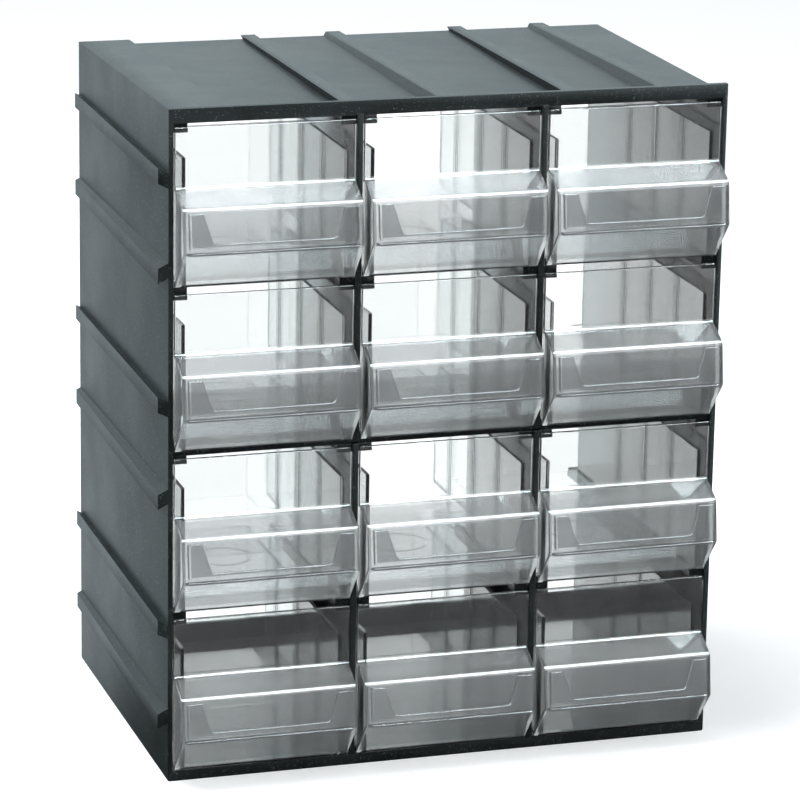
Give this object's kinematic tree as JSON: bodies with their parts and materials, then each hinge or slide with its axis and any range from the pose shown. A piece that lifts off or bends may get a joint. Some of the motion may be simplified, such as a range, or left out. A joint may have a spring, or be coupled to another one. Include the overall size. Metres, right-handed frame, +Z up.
{
  "type": "parts bin cabinet",
  "caption": "Small parts cabinet: dark casing with dovetail rails outside, and clear pull-out drawers with label pockets on a grid of ledges.",
  "frame": {"origin": "centre of the casing's base, on the surface it stands on", "axes": "+Z up, -Y out of the front, the way the drawers pull out, +X to the right seen from the front"},
  "size_m": [0.2301, 0.1648, 0.27],
  "materials": {
    "casing_plastic": "satin",
    "frame_plastic": "satin",
    "drawer_clear": "clear gloss",
    "divider_clear": "clear gloss"
  },
  "bodies": {
    "cabinet": {"casing": "casing_plastic", "column_divider_lower_left": "frame_plastic", "column_divider_lower_right": "frame_plastic", "column_divider_upper_left": "frame_plastic", "column_divider_upper_right": "frame_plastic", "middle_shelf": "frame_plastic"},
    "drawer_row1_column1": {"cross_divider_row1_column1": "divider_clear", "drawer_row1_column1": "drawer_clear"},
    "drawer_row1_column2": {"drawer_row1_column2": "drawer_clear"},
    "drawer_row1_column3": {"cross_divider_row1_column3": "divider_clear", "drawer_row1_column3": "drawer_clear"},
    "drawer_row2_column1": {"cross_divider_row2_column1": "divider_clear", "drawer_row2_column1": "drawer_clear"},
    "drawer_row2_column2": {"cross_divider_row2_column2": "divider_clear", "drawer_row2_column2": "drawer_clear"},
    "drawer_row2_column3": {"drawer_row2_column3": "drawer_clear"},
    "drawer_row3_column1": {"cross_divider_row3_column1": "divider_clear", "drawer_row3_column1": "drawer_clear"},
    "drawer_row3_column2": {"drawer_row3_column2": "drawer_clear"},
    "drawer_row3_column3": {"cross_divider_row3_column3": "divider_clear", "drawer_row3_column3": "drawer_clear"},
    "drawer_row4_column1": {"cross_divider_row4_column1": "divider_clear", "drawer_row4_column1": "drawer_clear"},
    "drawer_row4_column2": {"cross_divider_row4_column2": "divider_clear", "drawer_row4_column2": "drawer_clear"},
    "drawer_row4_column3": {"cross_divider_row4_column3": "divider_clear", "drawer_row4_column3": "drawer_clear"}
  },
  "joints": [
    {"name": "drawer_row1_column1_slide", "type": "slide", "parent": "cabinet", "child": "drawer_row1_column1", "axis": [0, -1, 0], "range_m": [0, 0.11]},
    {"name": "drawer_row1_column2_slide", "type": "slide", "parent": "cabinet", "child": "drawer_row1_column2", "axis": [0, -1, 0], "range_m": [0, 0.11]},
    {"name": "drawer_row1_column3_slide", "type": "slide", "parent": "cabinet", "child": "drawer_row1_column3", "axis": [0, -1, 0], "range_m": [0, 0.11]},
    {"name": "drawer_row2_column1_slide", "type": "slide", "parent": "cabinet", "child": "drawer_row2_column1", "axis": [0, -1, 0], "range_m": [0, 0.11]},
    {"name": "drawer_row2_column2_slide", "type": "slide", "parent": "cabinet", "child": "drawer_row2_column2", "axis": [0, -1, 0], "range_m": [0, 0.11]},
    {"name": "drawer_row2_column3_slide", "type": "slide", "parent": "cabinet", "child": "drawer_row2_column3", "axis": [0, -1, 0], "range_m": [0, 0.11]},
    {"name": "drawer_row3_column1_slide", "type": "slide", "parent": "cabinet", "child": "drawer_row3_column1", "axis": [0, -1, 0], "range_m": [0, 0.11]},
    {"name": "drawer_row3_column2_slide", "type": "slide", "parent": "cabinet", "child": "drawer_row3_column2", "axis": [0, -1, 0], "range_m": [0, 0.11]},
    {"name": "drawer_row3_column3_slide", "type": "slide", "parent": "cabinet", "child": "drawer_row3_column3", "axis": [0, -1, 0], "range_m": [0, 0.11]},
    {"name": "drawer_row4_column1_slide", "type": "slide", "parent": "cabinet", "child": "drawer_row4_column1", "axis": [0, -1, 0], "range_m": [0, 0.11]},
    {"name": "drawer_row4_column2_slide", "type": "slide", "parent": "cabinet", "child": "drawer_row4_column2", "axis": [0, -1, 0], "range_m": [0, 0.11]},
    {"name": "drawer_row4_column3_slide", "type": "slide", "parent": "cabinet", "child": "drawer_row4_column3", "axis": [0, -1, 0], "range_m": [0, 0.11]}
  ]
}
